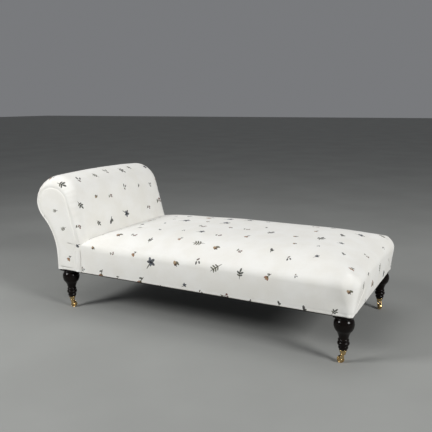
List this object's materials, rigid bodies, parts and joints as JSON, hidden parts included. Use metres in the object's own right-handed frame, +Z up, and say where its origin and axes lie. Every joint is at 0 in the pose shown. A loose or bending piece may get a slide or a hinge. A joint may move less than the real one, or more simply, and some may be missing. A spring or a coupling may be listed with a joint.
{
  "type": "fainting couch",
  "caption": "Low upholstered day bed with a scroll-over head end, crowned sprung seat, turned dark legs and swivelling brass castors, in an off-white sprigged cloth.",
  "frame": {"origin": "on the floor, under the centre of the couch's bounding box", "axes": "+X from the rolled head to the foot end, +Y from the near long side to the far one, +Z up"},
  "size_m": [1.7358, 0.822, 0.7243],
  "materials": {
    "printed_cloth": "matte",
    "black_lining": "matte",
    "jute": "matte",
    "hair_stuffing": "matte",
    "beech": "matte",
    "ebonised_wood": "gloss",
    "brass": "polished",
    "steel": "satin"
  },
  "bodies": {
    "couch": {"front_rail": "beech", "back_rail": "beech", "foot_rail": "beech", "head_rail": "beech", "centre_stretcher": "beech", "corner_blocks": "beech", "webbing_cross": "jute", "webbing_long": "jute", "seat_springs": "steel", "lashing_long": "jute", "lashing_cross": "jute", "seat_hessian": "jute", "seat_stuffing": "hair_stuffing", "seat_cover": "printed_cloth", "dust_cover": "black_lining", "base_beading": "ebonised_wood", "scroll_board_front": "beech", "scroll_board_back": "beech", "roll_rail": "beech", "lean_rail": "beech", "tack_rail": "beech", "head_webbing": "jute", "head_hessian": "jute", "head_stuffing": "hair_stuffing", "head_cover": "printed_cloth", "outer_back_cover": "printed_cloth", "side_panel_front": "printed_cloth", "side_panel_back": "printed_cloth", "facing_front": "printed_cloth", "facing_back": "printed_cloth", "leg_blocks": "ebonised_wood", "leg_bolts": "steel", "cup_screws": "brass", "leg_head_front": "ebonised_wood", "leg_head_back": "ebonised_wood", "leg_foot_front": "ebonised_wood", "leg_foot_back": "ebonised_wood", "cup_head_front": "brass", "cup_head_back": "brass", "cup_foot_front": "brass", "cup_foot_back": "brass"},
    "swivel_head_front": {"fork_head_front": "brass", "axle_head_front": "brass"},
    "roller_head_front": {"wheel_head_front": "brass"},
    "swivel_head_back": {"fork_head_back": "brass", "axle_head_back": "brass"},
    "roller_head_back": {"wheel_head_back": "brass"},
    "swivel_foot_front": {"fork_foot_front": "brass", "axle_foot_front": "brass"},
    "roller_foot_front": {"wheel_foot_front": "brass"},
    "swivel_foot_back": {"fork_foot_back": "brass", "axle_foot_back": "brass"},
    "roller_foot_back": {"wheel_foot_back": "brass"}
  },
  "joints": [
    {"name": "swivel_turn_head_front", "type": "hinge", "parent": "couch", "child": "swivel_head_front", "pos_m": [-0.6835, -0.363, 0.0404], "axis": [0, 0, 1], "continuous": true},
    {"name": "roller_spin_head_front", "type": "hinge", "parent": "swivel_head_front", "child": "roller_head_front", "pos_m": [-0.6747, -0.36113, 0.016], "axis": [-0.2079, 0.9781, 0], "continuous": true},
    {"name": "swivel_turn_head_back", "type": "hinge", "parent": "couch", "child": "swivel_head_back", "pos_m": [-0.6835, 0.363, 0.0404], "axis": [0, 0, 1], "continuous": true},
    {"name": "roller_spin_head_back", "type": "hinge", "parent": "swivel_head_back", "child": "roller_head_back", "pos_m": [-0.69129, 0.3675, 0.016], "axis": [-0.5, -0.866, 0], "continuous": true},
    {"name": "swivel_turn_foot_front", "type": "hinge", "parent": "couch", "child": "swivel_foot_front", "pos_m": [0.8205, -0.363, 0.0404], "axis": [0, 0, 1], "continuous": true},
    {"name": "roller_spin_foot_front", "type": "hinge", "parent": "swivel_foot_front", "child": "roller_foot_front", "pos_m": [0.81204, -0.36608, 0.016], "axis": [0.342, -0.9397, 0], "continuous": true},
    {"name": "swivel_turn_foot_back", "type": "hinge", "parent": "couch", "child": "swivel_foot_back", "pos_m": [0.8205, 0.363, 0.0404], "axis": [0, 0, 1], "continuous": true},
    {"name": "roller_spin_foot_back", "type": "hinge", "parent": "swivel_foot_back", "child": "roller_foot_back", "pos_m": [0.825, 0.35521, 0.016], "axis": [0.866, 0.5, 0], "continuous": true}
  ]
}
